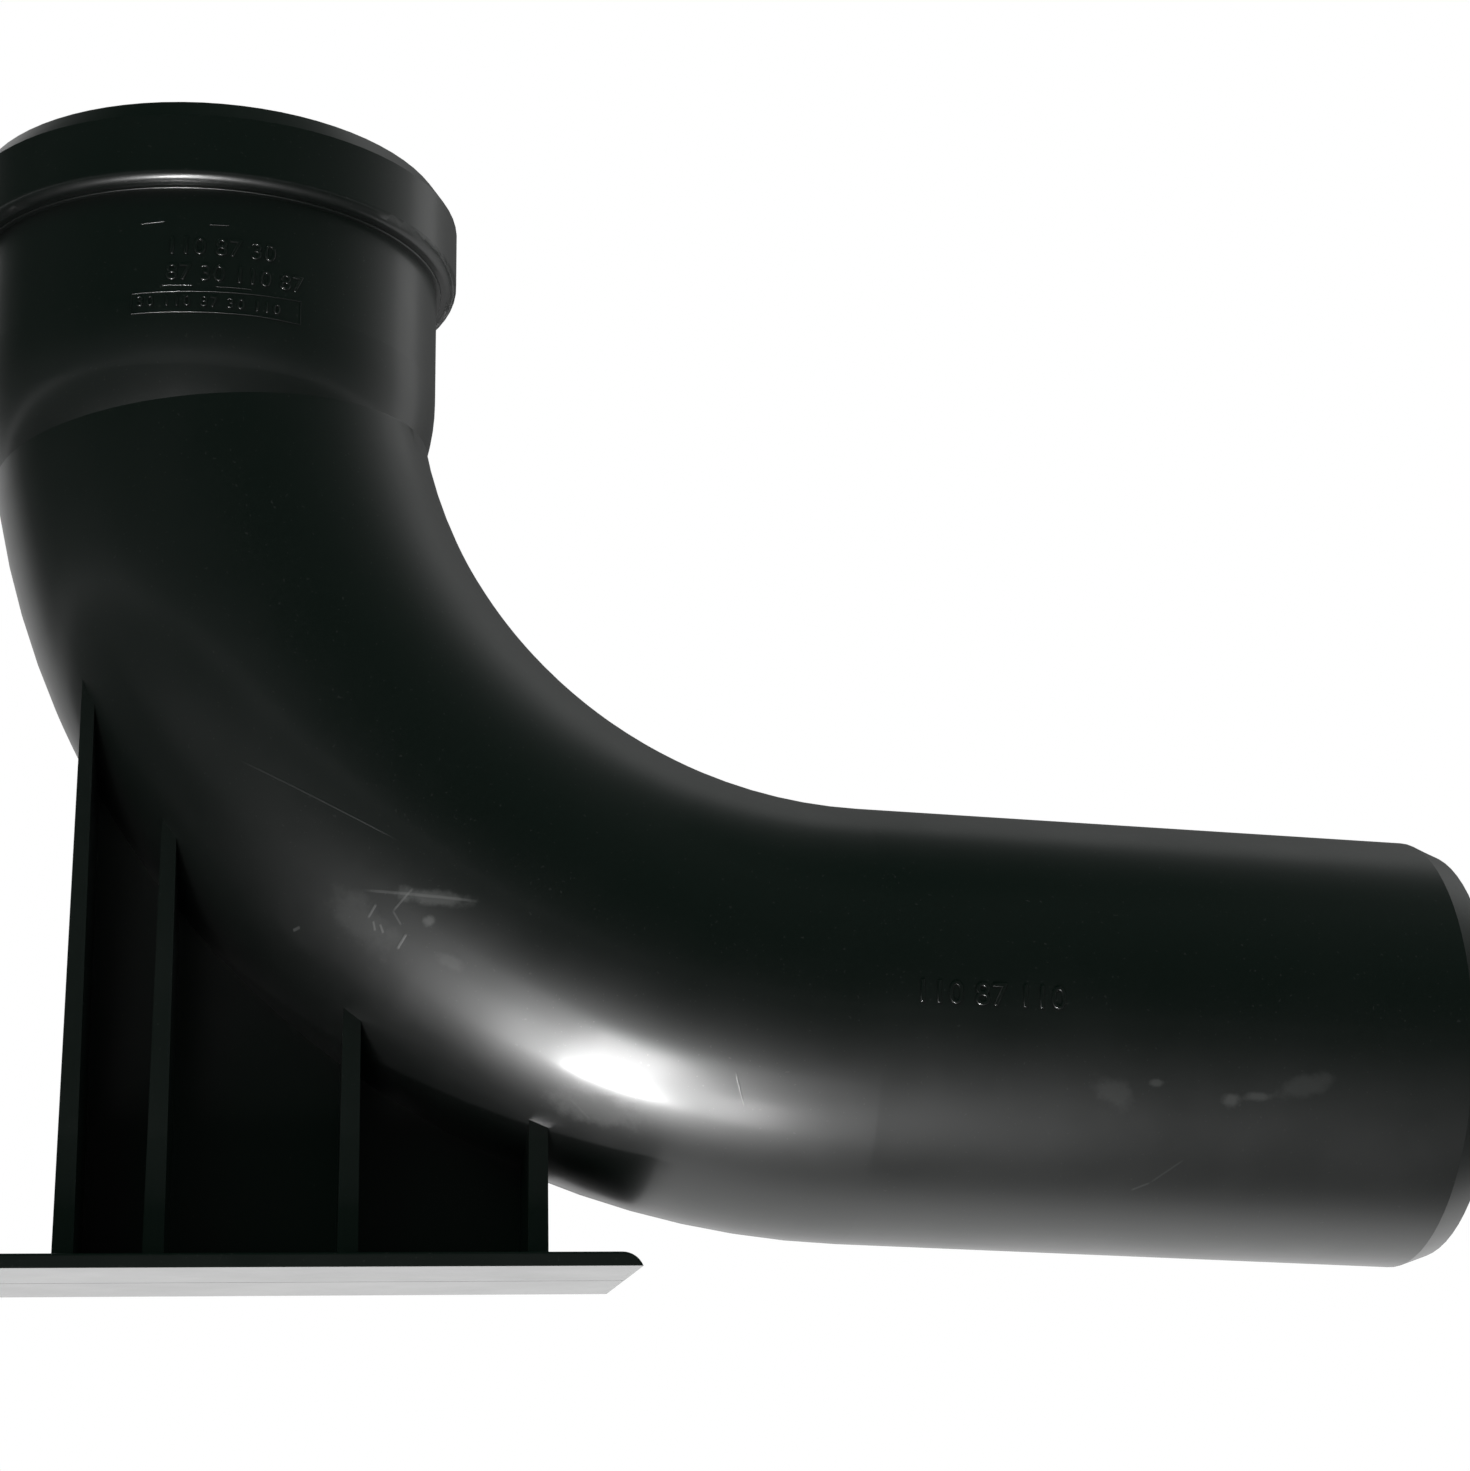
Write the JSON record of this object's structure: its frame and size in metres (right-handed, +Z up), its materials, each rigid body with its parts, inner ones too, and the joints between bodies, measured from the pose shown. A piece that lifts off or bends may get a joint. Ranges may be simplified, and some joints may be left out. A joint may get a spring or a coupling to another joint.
{
  "type": "downpipe foot bend",
  "caption": "Moulded right-angle drain bend with a ring-seal socket on top, a plain spigot and a ribbed foot plate that stands on the ground.",
  "frame": {"origin": "middle of the foot plate's underside", "axes": "+Z up along the socket's axis, +X the way the spigot points, Y = 0 is the plane that halves the bend"},
  "size_m": [0.383, 0.1288, 0.2808],
  "materials": {
    "body": "glossy black moulded plastic",
    "seal": "matt black rubber"
  },
  "bodies": {
    "root": {"bend_body": "body", "seal_ring": "seal"}
  },
  "joints": []
}
